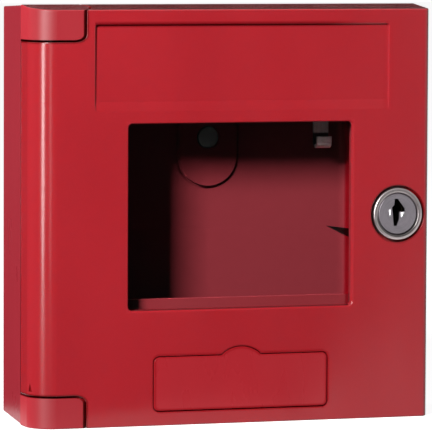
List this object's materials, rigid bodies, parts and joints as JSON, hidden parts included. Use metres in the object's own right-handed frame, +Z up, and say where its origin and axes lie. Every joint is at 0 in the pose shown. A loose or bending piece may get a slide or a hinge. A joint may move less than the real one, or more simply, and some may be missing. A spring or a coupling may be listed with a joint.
{
  "type": "break glass key box",
  "caption": "Square wall box in red plastic with a hinged, lockable door, a glass pane to break for the key, a key hook inside and a snap-in label cover.",
  "frame": {"origin": "centre of the flat back face that lies on the wall, half way up and half way across the box", "axes": "+X to the right seen from the front, +Y from the door back into the wall, +Z up"},
  "size_m": [0.138, 0.038, 0.138],
  "materials": {
    "red_plastic": "satin moulded plastic with a fine grain",
    "glass": "clear, polished",
    "nickel": "brushed nickel plate",
    "steel": "zinc-plated, satin",
    "rubber": "matt",
    "brass": "stamped"
  },
  "bodies": {
    "case": {"base_case": "red_plastic", "hinge_pin_upper": "steel", "hinge_pin_lower": "steel", "key_hook": "steel", "hook_screw": "steel"},
    "door": {"door_shell": "red_plastic", "glass_gasket": "rubber", "glass_pane": "glass", "glass_retainer": "red_plastic", "retainer_screws": "steel", "lock_housing": "nickel", "lock_clip": "steel"},
    "plug": {"lock_plug": "nickel", "lock_wafers": "brass", "stop_washer": "steel", "lock_cam": "steel", "cam_washer": "steel", "cam_screw": "steel"},
    "cover": {"label_cover": "red_plastic"}
  },
  "joints": [
    {"name": "door_hinge", "type": "hinge", "parent": "case", "child": "door", "pos_m": [-0.06, -0.0285, 0], "axis": [0, 0, -1], "range_deg": [0, 140]},
    {"name": "plug_turn", "type": "hinge", "parent": "door", "child": "plug", "pos_m": [0.0578, -0.0375, -0.0008], "axis": [0, 1, 0], "range_deg": [0, 90]},
    {"name": "cover_pull", "type": "slide", "parent": "door", "child": "cover", "axis": [0, -1, 0], "range_m": [0, 0.012]}
  ]
}
